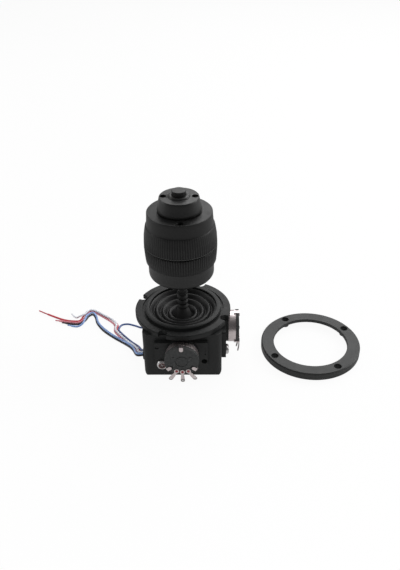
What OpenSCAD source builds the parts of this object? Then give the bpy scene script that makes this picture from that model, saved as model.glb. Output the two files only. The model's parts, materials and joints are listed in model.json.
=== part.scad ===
// Panel joystick with two sprung tilt axes, a twisting knob and a push button.
// Millimetres, +Z up. The origin is on the standing surface, under the stick's axis.

/* [Housing] */
// Width and depth of the square housing
base_w = 43; // [40:0.5:50]
// Height of the housing, from the standing surface to the underside of the flange
base_h = 28.9; // [28.5:0.1:32]
// Thickness of the housing walls
wall = 2.5; // [2:0.1:3.5]
// Radius of the housing's upright corners
corner_r = 3; // [1:0.5:4]
// Radius of the housing's bottom edges
foot_r = 1.2; // [0.5:0.1:3]
// Thickness of the bottom cover
cover_t = 2; // [1.5:0.1:3]
// Height of the point that both tilt axes pass through
gimbal_z = 18.8; // [18.4:0.1:19.2]

/* [Flange] */
// Radius of the mounting flange
flange_r = 26.6; // [25.5:0.1:28]
// Thickness of the mounting flange
flange_t = 2.9; // [2.5:0.1:4]
// Radius of the circle that the mounting screws stand on
bolt_circle_r = 25.1; // [24.6:0.1:25.4]
// Width of the notches that let the mounting screws pass
notch_w = 4.8; // [4.4:0.1:6]
// Azimuth of the first notch
notch_az = 67; // [60:1:72]

/* [Boot] */
// Outer radius of the ring that clamps the dust boot
rim_outer_r = 21.2; // [20.9:0.1:21.2]
// Inner radius of the ring that clamps the dust boot
rim_inner_r = 18.7; // [18.6:0.1:19]
// Height of the clamp ring above the flange
rim_h = 1.5; // [1:0.1:2.5]
// Thickness of the rubber
boot_t = 0.9; // [0.7:0.1:1.2]
// Radius of the innermost fold's crest
boot_fold_r = 7.2; // [7:0.1:7.4]
// Distance from one fold's crest to the next
boot_pitch = 3.65; // [3.6:0.01:3.7]
// Depth of the folds
boot_depth = 2; // [1.6:0.1:2.2]

/* [Mechanism] */
// Largest tilt of the stick on each axis, in degrees
tilt = 25; // [15:1:25]
// Outer radius of the stick's tube
stem_r = 2; // [1.9:0.05:2.2]
// Radius of the cradle's and yoke's journals
journal_r = 2.6; // [2.4:0.1:3]
// Radius of the pivot pins
pin_r = 1.25; // [1:0.05:1.4]
// Inner radius of the slotted yoke's arc
arc_inner_r = 11.6; // [11.4:0.1:12]
// Radial thickness of the slotted yoke's arc
arc_t = 2.4; // [2:0.1:2.6]
// Width of the slotted yoke
arc_w = 9.5; // [9.3:0.1:10]
// Outer radius of the sliding sleeve on the stick's tail
slider_r = 2.75; // [2.6:0.05:2.8]
// Room on each side of the sleeve in the yoke's slot
slot_room = 0.6; // [0.6:0.05:0.8]
// Wire radius of the return springs
spring_wire_r = 0.35; // [0.3:0.05:0.4]

/* [Knob] */
// Height of the knob's underside
knob_z = 54.2; // [53:0.1:58]
// Radius of the lower cup
cup_r = 17.5; // [17:0.1:18]
// Height of the lower cup
cup_h = 19; // [18:0.1:21]
// Width of the parting gap between the cup and the twisting cap
parting = 0.8; // [0.6:0.1:1]
// Height of the twisting cap
cap_h = 18.5; // [18:0.1:20]
// Radius of the cap's shoulder
cap_r = 17; // [16.8:0.1:17.4]
// Height of the grip bands above the cup's side
knurl_rise = 1.8; // [1.6:0.1:2.4]
// Number of ribs round each grip band
knurl_n = 92; // [80:2:130]
// Depth of the knurl
knurl_depth = 0.45; // [0.2:0.05:0.5]
// Knob wall thickness
knob_wall = 2; // [1.8:0.1:2.2]
// Largest twist of the cap each way, in degrees
twist = 30; // [20:1:30]
// Radius of the head's top face
head_r = 10.25; // [10:0.05:10.6]
// Height of the head above the cap
head_h = 8; // [7.5:0.1:9]
// Radius of the push button
button_r = 3.65; // [3.2:0.05:4]
// Height of the button above the head's collar
button_h = 2.4; // [2:0.1:3]
// Travel of the push button
button_travel = 1.5; // [0.8:0.1:1.6]

/* [Potentiometers] */
// Radius of the metal can
can_r = 9; // [8.6:0.1:9.2]
// Depth of the metal can
can_t = 4.1; // [3.5:0.1:5]
// Radius of the terminal disc
disc_r = 9.33; // [9.2:0.01:9.6]
// Thickness of the terminal disc
disc_t = 1.8; // [1.4:0.1:2.2]
// Radius of the shaft
pot_shaft_r = 1.6; // [1.5:0.05:1.7]
// Width of the mounting plate
plate_w = 29; // [27:0.5:30]
// Height of the mounting plate
plate_h = 18; // [17.5:0.5:18.5]
// Thickness of the mounting plate
plate_t = 2.5; // [2:0.1:3]

/* [Mounting ring] */
// Outer radius of the loose ring
ring_outer_r = 28.6; // [28.2:0.1:30]
// Inner radius of the loose ring
ring_inner_r = 21.3; // [21.3:0.1:21.8]
// Overall thickness of the loose ring
ring_t = 4.4; // [4:0.1:6]
// Thickness of the lip that carries the screw holes
ring_lip_t = 1.9; // [1.5:0.1:2.5]
// Radius of the screw holes
ring_hole_r = 1.6; // [1.4:0.05:1.65]
// Radius of the recesses for the screw heads
ring_recess_r = 2.1; // [1.9:0.05:2.2]
// Depth of the recesses for the screw heads
ring_recess_t = 1.4; // [0.8:0.1:1.5]
// Azimuth of the first screw hole
ring_hole_az = 30; // [0:1:89]

/* [Hidden] */
$fn = 48;
eps = 0.01;

// Clearances
running = 0.05;      // radial room of a shaft or journal in its bore
locating = 0.05;     // room round a piece that is pressed or screwed home
free_gap = 0.3;      // room between pieces that move past each other
guide_gap = 0.2;     // radial room of the button, and of the cap on the cup

// Places that follow from the driving sizes
half = base_w / 2;
inside = half - wall;
flange_z = base_h;
rim_z = flange_z + flange_t;
well_r = rim_inner_r - 0.4;
notch_r = notch_w / 2;
screw_edge = 3.9;                       // least distance from case screw to flange edge
post_xy = min(inside - 3, (flange_r - screw_edge) / sqrt(2));
post_r = 2.6;
case_screw_r = 1.2;
bush_r = journal_r + 1.4;
bush_lip = 0.8;
pot_gap = 1.5;                          // raised seat that the can rests on
plate_z = gimbal_z - 2.5;               // middle of the plate
plate_x = -0.5;
screw_at = [-11.1, 10.8];               // plate screw, from the axis and the floor
spare_hole_at = [12.1, 12.6];           // adjusting hole that holds no screw
peg_at = [-13.6, 22.3];                 // moulded locating peg
pot_face = half + plate_t + pot_gap;    // back of the can, from the stick's axis
can_front = pot_face + can_t;
disc_front = can_front + disc_t;
lug_t = 0.4;
tab_az = [90, 215, 325];                // azimuths of the tabs bent over the disc
tab_w = 2.1;
tab_tip = 7.9;                          // middle of the tabs' round ends

rail_x = 8.3;                           // outside of the cradle's side rails
rail_in = 5.5;                          // inside of the cradle's side rails
rail_y = 12;                            // outside of the cradle's end rails
rail_y_in = 9.2;                        // inside of the cradle's end rails
rail_half_h = 2;
hub_x = rail_in - free_gap;
pin_in = stem_r + 0.4;
arc_outer_r = arc_inner_r + arc_t;
slot_half = slider_r + slot_room;
tail_r = arc_outer_r + 1;               // how far the tail reaches below the axes
spring_r = journal_r + 1.8;
cradle_spring_h = inside - bush_lip - rail_y - 1.2;
yoke_spring_h = inside - bush_lip - arc_outer_r - 1.2;
spring_turns = 4;
leg_gap = spring_wire_r * 2 + 0.3;
leg_side = 0.9 + spring_wire_r + 0.05;  // legs run on both sides of the posts
spring_post_r = 0.9;
moving_post = 6.2;                      // height of the posts below the axis
fixed_post = 9.4;
journal_end = half - free_gap;
stem_bore = 1.4;
stem_top = knob_z + 6.8;

cup_floor = 3;
cup_top = knob_z + cup_h;
cap_z = cup_top + parting;
cap_top = cap_z + cap_h;
cup_in = cup_r - knob_wall;
cap_wall = knob_wall - 0.5;             // thinnest wall of the cap, at its shoulder
knurl_r = max(cup_r, cap_r) + knurl_rise;
knurl_low_h = 9.1;                      // height of the cup's grip band
knurl_high_h = 11;                      // height of the cap's grip band
spigot_r = min(cup_in, cap_r - cap_wall) - 0.3;
spigot_top = cup_top + 6.8;
spigot_in = spigot_r - 1.8;
cap_in = spigot_r + guide_gap;
snap_z = cup_top + 2.8;
snap_h = 0.8;
stop_at = [1, 1.1 - spigot_r];
stop_r = 1;
boss_r = 5.5;
post_top = knob_z + 11.1;
pot_post_at = 9.3;
pot_plate_r = 12.3;
twist_body_r = 8;
twist_body_h = 6;
twist_shaft_r = 3;
twist_shaft_top = cap_top - 7.5;
twist_spring_r = boss_r + 1.5;
twist_fixed_post = 10.6;
twist_moving_post = 13;
twist_spring_z = spigot_top + 0.5;
twist_spring_h = 4.4;
head_top = cap_top + head_h;
head_base_r = head_r + 1.3;
head_in = 5.9;
head_roof = 2;
collar_r = 5.6;
collar_h = 0.9;
button_top = head_top + collar_h + button_h;
button_foot = head_top - head_roof - 1.2;
plunger_h = 0.7;
switch_h = button_foot - button_travel - 0.2 - plunger_h - cap_top;

ring_at = [73.75, 3];

// Routes of the loose wires, by hand: out of the grommet, down to the standing surface
// and along it. The first point lies on the grommet's face.
wire_r = 0.6;
grommet_y = -9;
grommet_z = 6.25;
grommet_face = 1.5;
route_black = [
    [-23, -10.3, 5.6], [-26.8, -9.9, 5.2], [-29.3, -4.3, 3.8], [-32, 1.2, 1.8],
    [-36, 6, 0.6], [-43.5, 12, 0.6], [-50.5, 18.8, 0.6], [-55, 25.5, 0.6],
    [-57.2, 32, 0.6], [-59.5, 35.2, 0.6], [-61.9, 33, 0.6], [-63, 29.5, 0.6],
    [-65.5, 26, 0.6], [-69.5, 25.2, 0.6], [-77.5, 26.9, 0.6]];
route_blue = [
    [-23, -10.3, 6.9], [-26.8, -9.8, 6.6], [-28.9, -4.1, 5], [-31.5, 1.6, 3], [-35.5, 6.5, 1.7],
    [-43.1, 12.5, 1.7], [-50, 19.3, 1.7], [-54.5, 25.8, 1.7], [-56.7, 32.3, 1.7],
    [-59.4, 35.9, 1.7], [-62.5, 33.4, 1.7], [-63.2, 29, 1.9], [-64.3, 25, 1.2],
    [-67.5, 22.9, 0.6], [-73.5, 24.5, 0.6]];
route_pink = [
    [-23, -9, 5.6], [-25.7, -8.5, 5.4], [-28, -3.6, 3.8], [-31, 2, 1.8], [-35, 7, 0.6],
    [-42.5, 16.5, 0.6], [-43.6, 20.5, 0.6], [-43.8, 23.4, 0.6], [-46.3, 27.2, 0.6],
    [-53, 33.2, 0.6], [-58.3, 37.2, 0.6], [-61.5, 37.6, 0.6], [-63.4, 34, 0.6],
    [-64.6, 29.8, 0.6], [-67, 27, 0.6], [-72, 27.2, 0.6], [-82, 29.3, 0.6]];
route_red = [
    [-23, -7.7, 5.6], [-24.6, -7.1, 5.5], [-26.7, -2.9, 3.8], [-30, 2.8, 1.8], [-34, 8, 0.6],
    [-41.4, 17.3, 0.6], [-42.3, 20.6, 0.6], [-42.1, 23.6, 0.6], [-45.1, 28.5, 0.6],
    [-52.2, 34.3, 0.6], [-57.6, 38.5, 0.6], [-62.2, 39.4, 0.6], [-64.9, 34.4, 0.6],
    [-65.9, 30.3, 0.6], [-68, 28.3, 0.6], [-76.5, 29.6, 0.6], [-87.5, 35.3, 0.6],
    [-94.5, 39.5, 0.6]];
route_white = [
    [-23, -9, 6.9], [-25.7, -8.4, 6.7], [-27.5, -3.2, 5], [-30.5, 2.4, 3], [-34.5, 7.5, 1.7],
    [-42, 16.9, 1.7], [-43, 20.5, 1.7], [-42.8, 23.8, 1.7], [-45.5, 28, 1.7],
    [-52.6, 33.8, 1.7], [-58, 37.9, 1.7], [-61.9, 38.3, 1.8], [-64.3, 34.2, 1.9],
    [-66.7, 32.2, 1.9], [-69.5, 32, 0.7], [-73, 36, 0.6]];
route_dark_blue = [
    [-23, -7.7, 6.9], [-24.4, -6.9, 6.8], [-26.1, -2.4, 5], [-28.6, 3.3, 1.9],
    [-33, 8.9, 0.6], [-40.2, 17.8, 0.6], [-41, 21, 0.6], [-39.6, 24.3, 0.6],
    [-36, 25.2, 0.6], [-31.5, 23.6, 0.6], [-26.5, 21.5, 0.6], [-21, 24, 0.6], [-13, 26, 0.6]];

// ---------------------------------------------------------------- helpers

function unit(v) = v / norm(v);
function turns_in(h) =
    min(spring_turns, floor((h - 2 * spring_wire_r) / (2 * spring_wire_r + 0.05)));
function along(pts, i) = unit(pts[min(i + 1, len(pts) - 1)] - pts[max(i - 1, 0)]);

// Tube of round section, swept along points. The sides stay level because each ring is
// squared to the path and to the upright. A given start squares the first end to it.
module swept_tube(pts, r, sides = 8, start = undef) {
    n = len(pts);
    rings = [for (i = [0 : n - 1])
        let (t = i == 0 && start != undef ? start : along(pts, i))
        let (side = unit(cross(t, [0, 0, 1])), top = cross(side, t))
        for (k = [0 : sides - 1])
            pts[i] + r * (cos(360 * k / sides) * side + sin(360 * k / sides) * top)];
    quads = [for (i = [0 : n - 2], k = [0 : sides - 1])
        [i * sides + k, (i + 1) * sides + k,
         (i + 1) * sides + (k + 1) % sides, i * sides + (k + 1) % sides]];
    ends = [[for (k = [0 : sides - 1]) k],
            [for (k = [sides - 1 : -1 : 0]) (n - 1) * sides + k]];
    polyhedron(points = rings, faces = concat(quads, ends), convexity = 6);
}

// Helical spring that stands on z = 0, with an optional straight leg at each end. The legs
// point along +X at y = -leg_y (lower) and y = +leg_y (upper) and reach to leg_x.
module coil_spring(r, wire, turns, h, leg_x = 0, leg_y = 0) {
    steps = 14;
    lean = leg_x > 0 ? acos(leg_y / r) : 0;
    sweep_deg = leg_x > 0 ? 360 * turns - 180 + 2 * lean : 360 * turns;
    start_deg = leg_x > 0 ? 90 - lean : 0;
    count = round(steps * sweep_deg / 360);
    helix = [for (i = [0 : count])
        let (a = start_deg + sweep_deg * i / count)
        [r * cos(a), r * sin(a), wire + (h - 2 * wire) * i / count]];
    low = leg_x > 0 ? [[leg_x, helix[0][1], wire]] : [];
    high = leg_x > 0 ? [[leg_x, helix[count][1], h - wire]] : [];
    swept_tube(concat(low, helix, high), wire, 6);
}

// Square with round corners, as a plane outline
module rounded_square(x, y, r) {
    square([x - 2 * r, y], center = true);
    square([x, y - 2 * r], center = true);
    for (sx = [-1, 1], sy = [-1, 1])
        translate([sx * (x / 2 - r), sy * (y / 2 - r)]) circle(r);
}

// Side view of the housing: square at the top, round at the bottom edges
module housing_elevation() {
    translate([-half + foot_r, 0]) square([base_w - 2 * foot_r, base_h]);
    translate([-half, foot_r]) square([base_w, base_h - foot_r]);
    for (s = [-1, 1]) translate([s * (half - foot_r), foot_r]) circle(foot_r);
}

module ring(r_out, r_in, h) {
    difference() {
        cylinder(r = r_out, h = h);
        translate([0, 0, -1]) cylinder(r = r_in, h = h + 2);
    }
}

// Turns a piece drawn for the front face (looking along -Y) to the side it belongs to
module on_side(side) {
    rotate([0, 0, side == "side" ? 90 : 0]) children();
}

// Lays a piece drawn up +Z down along -Y, at the height of the tilt axes
module along_front(from) {
    translate([0, -from, gimbal_z]) rotate([90, 0, 0]) children();
}

// Grip band: a star-shaped prism trimmed to a turned outline, hollow inside the given radius
module grip_band(outline, z0, h, r_in) {
    intersection() {
        rotate_extrude($fn = 96) polygon(outline);
        translate([0, 0, z0 - 1]) linear_extrude(h + 2) difference() {
            polygon([for (i = [0 : 2 * knurl_n - 1])
                let (r = knurl_r + 0.05 - (i % 2) * knurl_depth, a = 180 * i / knurl_n)
                [r * cos(a), r * sin(a)]]);
            circle(r_in);
        }
    }
}

// ---------------------------------------------------------------- housing

module housing() {
    web = inside - post_xy + 1; // from a screw post into the wall
    color("#2b2b2b") difference() {
        intersection() {
            linear_extrude(base_h) rounded_square(base_w, base_w, corner_r);
            translate([0, half + 1, 0]) rotate([90, 0, 0])
                linear_extrude(base_w + 2) housing_elevation();
            translate([-half - 1, 0, 0]) rotate([90, 0, 90])
                linear_extrude(base_w + 2) housing_elevation();
        }
        difference() {
            translate([-inside, -inside, -1]) cube([2 * inside, 2 * inside, base_h - wall + 1]);
            for (sx = [-1, 1], sy = [-1, 1]) translate([sx * post_xy, sy * post_xy, cover_t])
                union() {
                    cylinder(r = post_r, h = base_h);
                    translate([sx > 0 ? 0 : -web, -post_r, 0])
                        cube([web, 2 * post_r, base_h]);
                    translate([-post_r, sy > 0 ? 0 : -web, 0])
                        cube([2 * post_r, web, base_h]);
                }
            // fixed posts that the return springs bear on
            translate([-inside - 1, 0, gimbal_z - fixed_post]) rotate([0, 90, 0])
                cylinder(r = spring_post_r, h = inside - arc_outer_r);
            translate([0, inside + 1, gimbal_z - fixed_post]) rotate([90, 0, 0])
                cylinder(r = spring_post_r, h = inside - rail_y - 1);
        }
        // well for the boot
        translate([0, 0, base_h - wall - 1]) cylinder(r = well_r, h = wall + 2);
        for (a = [0 : 90 : 270]) rotate([0, 0, a])
            translate([0, -inside + 1, gimbal_z]) rotate([90, 0, 0])
                cylinder(r = bush_r, h = wall + 2);
        for (sx = [-1, 1], sy = [-1, 1]) translate([sx * post_xy, sy * post_xy, 0])
            cylinder(r = case_screw_r + locating, h = base_h + 1);
        translate([-half - 1, grommet_y, grommet_z]) rotate([0, 90, 0])
            cylinder(r = 3.2, h = wall + 2);
        for (s = ["front", "side"]) on_side(s) {
            translate([screw_at[0], -half - 1, screw_at[1]]) rotate([-90, 0, 0])
                cylinder(r = 1.25, h = wall + 2);
        }
    }
    color("#2b2b2b") for (s = ["front", "side"]) on_side(s)
        translate([peg_at[0], -half + eps, peg_at[1]]) rotate([90, 0, 0])
            cylinder(r = 1.1, h = plate_t - 0.4);
}

module bottom_cover() {
    color("#262626") difference() {
        linear_extrude(cover_t)
            rounded_square(2 * inside - 2 * locating, 2 * inside - 2 * locating, 1);
        for (sx = [-1, 1], sy = [-1, 1]) translate([sx * post_xy, sy * post_xy, 0]) {
            translate([0, 0, -1]) cylinder(r = case_screw_r + 0.1, h = cover_t + 2);
            translate([0, 0, -eps]) cylinder(r1 = 2.4, r2 = case_screw_r + 0.1, h = 1.3);
        }
    }
}

module case_screws() {
    color("#b8babd") for (sx = [-1, 1], sy = [-1, 1])
        translate([sx * post_xy, sy * post_xy, 0.15]) difference() {
            union() {
                cylinder(r1 = 2.25, r2 = case_screw_r, h = 1.15);
                cylinder(r = case_screw_r, h = rim_z - 1.4 - 0.15);
            }
            for (a = [0, 90]) rotate([0, 0, a])
                translate([-1.1, -0.25, -0.1]) cube([2.2, 0.5, 0.8]);
        }
}

module top_flange() {
    groove_in = rim_outer_r + 0.1;
    color("#303030") difference() {
        translate([0, 0, flange_z]) union() {
            cylinder(r = flange_r - 0.3, h = flange_t, $fn = 96);
            translate([0, 0, 0.3]) cylinder(r = flange_r, h = flange_t - 0.6, $fn = 96);
        }
        translate([0, 0, flange_z - 1]) cylinder(r = well_r, h = flange_t + 2);
        // seat for the boot's bead and for the clamp ring's tongue
        translate([0, 0, rim_z - 1.4]) cylinder(r = well_r + 1.9, h = 2);
        translate([0, 0, rim_z - 1]) ring(rim_outer_r - 0.2, rim_outer_r - 0.9, 2);
        translate([0, 0, rim_z - 0.7]) ring(groove_in + 0.8, groove_in, 2);
        for (k = [0 : 3]) rotate([0, 0, notch_az + 90 * k])
            translate([0, 0, flange_z - 1]) {
                translate([bolt_circle_r, 0, 0]) cylinder(r = notch_r, h = flange_t + 2);
                translate([bolt_circle_r, -notch_r, 0]) cube([6, notch_w, flange_t + 2]);
            }
        for (sx = [-1, 1], sy = [-1, 1]) translate([sx * post_xy, sy * post_xy, flange_z - 1])
            cylinder(r = case_screw_r, h = flange_t);
    }
}

module boot_clamp_ring() {
    color("#3a3a3a") rotate_extrude($fn = 96) polygon([
        [rim_inner_r, rim_z], [rim_outer_r - 0.85, rim_z], [rim_outer_r - 0.85, rim_z - 0.95],
        [rim_outer_r - 0.25, rim_z - 0.95], [rim_outer_r - 0.25, rim_z], [rim_outer_r, rim_z],
        [rim_outer_r, rim_z + rim_h - 0.35], [rim_outer_r - 0.35, rim_z + rim_h],
        [rim_inner_r + 0.25, rim_z + rim_h], [rim_inner_r, rim_z + rim_h - 0.25]]);
}

// Height of the rubber's upper face at radius r: a shallow bowl with round folds
function boot_crest(r) = rim_z - 3.1 + 0.32 * (r - boot_fold_r);
function boot_top(r) =
    boot_crest(r) - boot_depth * (1 - cos(360 * (r - boot_fold_r) / boot_pitch)) / 2;

module dust_boot() {
    valley_r = boot_fold_r - boot_pitch / 2;
    edge_r = boot_fold_r + 3 * boot_pitch;
    neck_r = stem_r + running;
    steps = 36;
    fold_r = [for (i = [0 : steps]) valley_r + (edge_r - valley_r) * i / steps];
    bead_z = rim_z - 1.4;
    neck = [for (i = [0 : 12]) let (z = rim_z - 1.2 + i)
        [stem_r + 0.6 + 0.2 * cos(180 * i), z]];
    crown = rim_z - 1.8;
    color("#1d1d1d") rotate_extrude($fn = 96) polygon(concat(
        // outer bead, clamped under the ring
        [[edge_r - 0.45, bead_z - 0.2], [well_r - 0.1, bead_z - 0.2], [well_r - 0.1, bead_z],
         [well_r + 1.8, bead_z], [well_r + 1.8, rim_z - 0.05], [edge_r + 0.35, rim_z - 0.05],
         [edge_r + 0.3, rim_z + 0.3]],
        // folds, from the edge to the middle, on the upper face
        [for (i = [steps : -1 : 0]) [fold_r[i], boot_top(fold_r[i])]],
        [[stem_r + 2, crown - 0.9], [stem_r + 1, crown]],
        neck,
        [[neck_r, rim_z + 10.8], [neck_r, crown - boot_t - 0.6],
         [stem_r + 1.4, crown - boot_t - 1.6]],
        // lower face, back out to the edge
        [for (i = [0 : steps - 2]) [fold_r[i], boot_top(fold_r[i]) - boot_t]]));
}

// ---------------------------------------------------------------- bushes and potentiometers

module journal_bushes() {
    color("#c9c3b4") for (a = [0 : 90 : 270]) rotate([0, 0, a])
        along_front(inside - bush_lip) difference() {
            union() {
                cylinder(r = bush_r + 1, h = bush_lip);
                cylinder(r = bush_r - 0.01, h = bush_lip + wall - 0.1);
            }
            translate([0, 0, -1]) cylinder(r = journal_r + running, h = wall + bush_lip + 2);
        }
}

module pot_plate(side) {
    color("#262626") on_side(side) difference() {
        union() {
            translate([plate_x, -half, plate_z]) rotate([90, 0, 0])
                linear_extrude(plate_t) rounded_square(plate_w, plate_h, 1);
            along_front(half) cylinder(r = can_r - 0.2, h = plate_t + pot_gap);
        }
        along_front(half - 1) cylinder(r = journal_r + 0.6, h = plate_t + pot_gap + 2);
        for (p = [[screw_at, 1.6], [spare_hole_at, 1.6], [peg_at, 1.15]])
            translate([p[0][0], -half + 1, p[0][1]]) rotate([90, 0, 0])
                cylinder(r = p[1], h = plate_t + 2);
        // shallow mould mark beside the can
        translate([12.3, -half - plate_t - 1, 17]) cube([0.6, 1.4, 4.6]);
    }
}

// Pan-head screw with a cross recess; its head rests on the plate
module plate_screw(side) {
    color("#c4c6c8") on_side(side)
        translate([screw_at[0], -half - plate_t, screw_at[1]]) rotate([90, 0, 0])
            difference() {
                union() {
                    rotate_extrude() polygon([[0, 0], [2.85, 0], [2.85, 0.9], [2.6, 1.35],
                        [2, 1.65], [0, 1.75]]);
                    translate([0, 0, -plate_t - wall]) cylinder(r = 1.2, h = plate_t + wall + 1);
                }
                for (a = [25, 115]) rotate([0, 0, a])
                    translate([-1.5, -0.3, 0.8]) cube([3, 0.6, 2]);
            }
}

// Can with the three tabs that are bent over the terminal disc
module pot_can(side) {
    color("#c9c4c2") on_side(side) along_front(pot_face) difference() {
        union() {
            cylinder(r = can_r, h = can_t);
            for (a = tab_az) rotate([0, 0, a]) {
                translate([disc_r + 0.02, -tab_w / 2, can_t - 1])
                    cube([0.35, tab_w, disc_t + 1.4]);
                translate([tab_tip, 0, can_t + disc_t + 0.02]) cylinder(r = tab_w / 2, h = 0.38);
                translate([tab_tip, -tab_w / 2, can_t + disc_t + 0.02])
                    cube([disc_r + 0.3 - tab_tip, tab_w, 0.38]);
                translate([can_r - 0.5, -tab_w / 2, can_t - 1]) cube([1.2, tab_w, 0.99]);
            }
        }
        translate([0, 0, -1]) cylinder(r = pot_shaft_r + running, h = can_t + 0.8);
    }
}

module pot_disc(side) {
    color("#454647") on_side(side) along_front(can_front) {
        difference() {
            cylinder(r = disc_r, h = disc_t);
            translate([0, 0, disc_t - 0.3]) ring(3.6, 2.9, 1);
            // pockets that the tabs' ends are pressed over
            for (a = tab_az) rotate([0, 0, a]) translate([tab_tip - 0.75, 0, disc_t - 0.8])
                cylinder(r = 1.1, h = 2);
        }
        for (x = [-4.6, 4.6]) translate([x, 2.2, disc_t - eps]) cylinder(r = 0.8, h = 0.35);
    }
}

lug_rivet = [[-2.8, -6.5], [0.3, -7.1], [3.5, -6.5]];
lug_end = [[-6.1, -12.1], [0.3, -14.1], [7, -11.9]];
lug_eye = 1.35;                         // radius round the rivet
lug_pad = 1.15;                         // half width of the solder pad
lug_waist = 0.6;                        // half width between eye and pad

// Solder lug: a round eye, a waist, and a long pad with a round end and a wire hole
module lug_outline(a, b) {
    d = unit(b - a);
    n = [-d[1], d[0]];
    waist = a + 1.9 * d;
    pad = a + 3.3 * d;
    difference() {
        union() {
            translate(a) circle(lug_eye);
            translate(b) circle(lug_pad);
            polygon([
                a + lug_eye * 0.9 * n, waist + lug_waist * n, pad + lug_pad * 0.85 * n,
                b + lug_pad * n, b - lug_pad * n, pad - lug_pad * 0.85 * n,
                waist - lug_waist * n, a - lug_eye * 0.9 * n]);
        }
        translate(b) circle(0.5);
        translate(a) circle(0.75);
    }
}

module pot_lugs(side) {
    color("#d8ccc8") on_side(side) along_front(disc_front)
        for (i = [0 : 2]) linear_extrude(lug_t) lug_outline(lug_rivet[i], lug_end[i]);
}

module pot_rivets(side) {
    color("#6e2b2e") on_side(side) along_front(disc_front)
        for (i = [0 : 2]) translate([lug_rivet[i][0], lug_rivet[i][1], 0])
            cylinder(r = 0.73, h = lug_t + 0.15);
}

// ---------------------------------------------------------------- cable

module cable_grommet() {
    color("#151515") translate([-half - grommet_face, grommet_y, grommet_z])
        rotate([0, 90, 0]) rotate_extrude() polygon([
            [0, 0], [3.5, 0], [3.9, 0.4], [3.9, grommet_face], [3.15, grommet_face],
            [3.15, grommet_face + wall], [3.7, grommet_face + wall],
            [3.3, grommet_face + wall + 0.8], [0, grommet_face + wall + 0.8]]);
}

module wire(pts, paint) {
    color(paint) swept_tube(pts, wire_r, start = [-1, 0, 0]);
}

// ---------------------------------------------------------------- loose mounting ring

module mounting_ring() {
    skirt_in = flange_r + free_gap;
    color("#2e2e2e") translate([ring_at[0], ring_at[1], 0]) difference() {
        union() {
            rotate_extrude($fn = 96) polygon([
                [skirt_in, 0], [ring_outer_r - 0.3, 0], [ring_outer_r, 0.3],
                [ring_outer_r, ring_t - 0.6], [ring_outer_r - 0.6, ring_t],
                [ring_inner_r + 0.3, ring_t], [ring_inner_r, ring_t - 0.3],
                [ring_inner_r, ring_t - ring_lip_t], [skirt_in, ring_t - ring_lip_t]]);
            // bosses that drop into the flange's notches
            for (k = [0 : 3]) rotate([0, 0, ring_hole_az + 90 * k])
                translate([bolt_circle_r, 0, 0])
                    cylinder(r = notch_r - 0.12, h = ring_t - ring_lip_t + 0.5);
        }
        for (k = [0 : 3]) rotate([0, 0, ring_hole_az + 90 * k])
            translate([bolt_circle_r, 0, -1]) {
                cylinder(r = ring_hole_r, h = ring_t + 2);
                translate([0, 0, ring_t - ring_recess_t + 1])
                    cylinder(r = ring_recess_r, h = ring_t);
            }
    }
}

// ---------------------------------------------------------------- cradle: tilts about Y

module cradle() {
    color("#d9d6cc") translate([0, 0, gimbal_z]) difference() {
        union() {
            difference() {
                translate([-rail_x, -rail_y, -rail_half_h])
                    cube([2 * rail_x, 2 * rail_y, 2 * rail_half_h]);
                translate([-rail_in, -rail_y_in, -rail_half_h - 1])
                    cube([2 * rail_in, 2 * rail_y_in, 2 * rail_half_h + 2]);
            }
            for (s = [-1, 1]) translate([0, s * (rail_y - 1), 0]) rotate([-s * 90, 0, 0])
                cylinder(r = journal_r, h = journal_end - rail_y + 1);
            // ear with the post that the return spring drives
            translate([-1.6, rail_y_in + 0.6, -moving_post - 1.1])
                cube([3.2, rail_y - rail_y_in - 0.6, moving_post]);
            translate([0, rail_y - 1, -moving_post]) rotate([-90, 0, 0])
                cylinder(r = spring_post_r, h = inside - rail_y - 0.4);
        }
        rotate([0, 90, 0]) translate([0, 0, -rail_x - 1]) cylinder(r = pin_r, h = 2 * rail_x + 2);
        translate([0, -journal_end - 1, 0]) rotate([-90, 0, 0])
            cylinder(r = pot_shaft_r + running, h = journal_end - rail_y + 2);
    }
}

module pivot_pins() {
    color("#aeb0b3") for (s = [-1, 1]) translate([s * pin_in, 0, gimbal_z])
        rotate([0, s * 90, 0]) cylinder(r = pin_r, h = rail_x - pin_in);
}

// Shaft with a flat, from the journal's blind bore into the can
module pot_shaft(side) {
    start = side == "side" ? arc_outer_r + 0.5 : rail_y + 0.5;
    color("#b5b7ba") on_side(side) along_front(start) difference() {
        cylinder(r = pot_shaft_r, h = can_front - 0.6 - start);
        translate([0.9, -2, -1]) cube([2, 4, journal_end - start + 1]);
    }
}

// A torsion spring lies round a journal; its legs bracket a fixed and a moving post
module cradle_spring() {
    color("#8f9194") translate([0, rail_y + 0.7, gimbal_z]) rotate([-90, 90, 0])
        coil_spring(spring_r, spring_wire_r, turns_in(cradle_spring_h),
            cradle_spring_h, fixed_post + 1.5, leg_side);
}

// ---------------------------------------------------------------- yoke: tilts about X

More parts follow.
